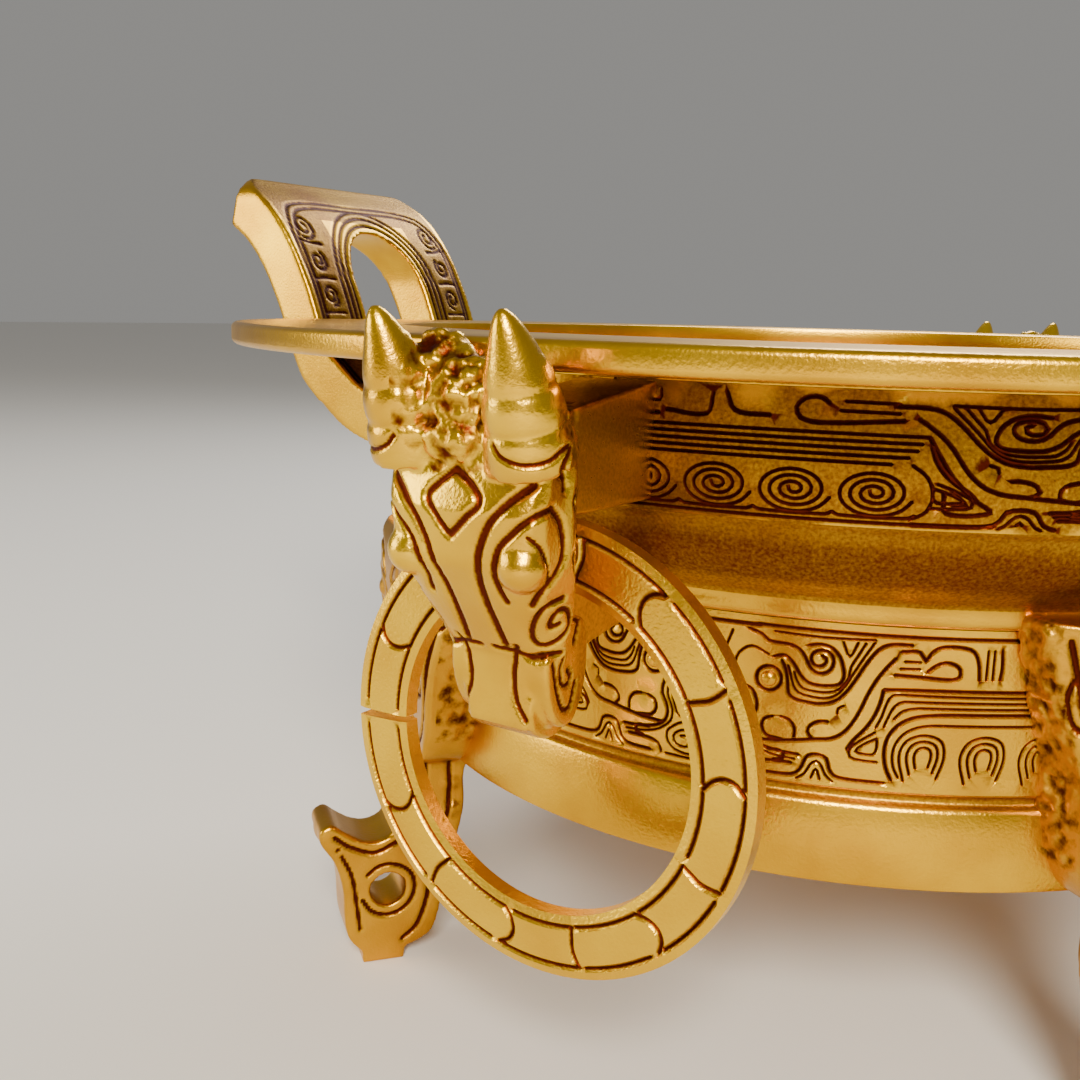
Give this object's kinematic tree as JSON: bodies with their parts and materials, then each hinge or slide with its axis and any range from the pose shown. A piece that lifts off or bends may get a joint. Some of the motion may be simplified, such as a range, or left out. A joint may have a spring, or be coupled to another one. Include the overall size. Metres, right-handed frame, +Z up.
{
  "type": "footed bronze basin with ring-holding beast heads",
  "caption": "Wide round footed basin with a flat rim, upright ears, horned beast heads that hold swinging rings, and curled beast legs.",
  "frame": {"origin": "centre of the square round the whole basin, on the floor between the feet", "axes": "+Z up, +X towards the right ear, the front beast head faces -Y"},
  "size_m": [0.3276, 0.292, 0.1677],
  "materials": {
    "basin": "cast bronze with a gold finish and red-brown wash in the pattern's grooves",
    "ears": "cast bronze with a gold finish, dark red-brown on the patterned inner face",
    "heads": "cast bronze with a gold finish and red-brown wash in the carved lines",
    "legs": "cast bronze with a worn gold finish and an orange-brown tint",
    "rings": "cast bronze with a grainy gold finish and dark engraved lines"
  },
  "bodies": {
    "vessel": {"basin": "basin", "ear_left": "ears", "ear_right": "ears", "beast_head_front": "heads", "beast_head_back": "heads", "leg_front_left": "legs", "leg_front_right": "legs", "leg_back_left": "legs", "leg_back_right": "legs"},
    "front_ring": {"ring_front": "rings"},
    "back_ring": {"ring_back": "rings"}
  },
  "joints": [
    {"name": "ring_front_swing", "type": "hinge", "parent": "vessel", "child": "front_ring", "pos_m": [0, -0.1208, 0.1009], "axis": [-1, 0, 0], "range_deg": [-22, 90]},
    {"name": "ring_back_swing", "type": "hinge", "parent": "vessel", "child": "back_ring", "pos_m": [0, 0.1208, 0.1009], "axis": [1, 0, 0], "range_deg": [-22, 90]}
  ]
}
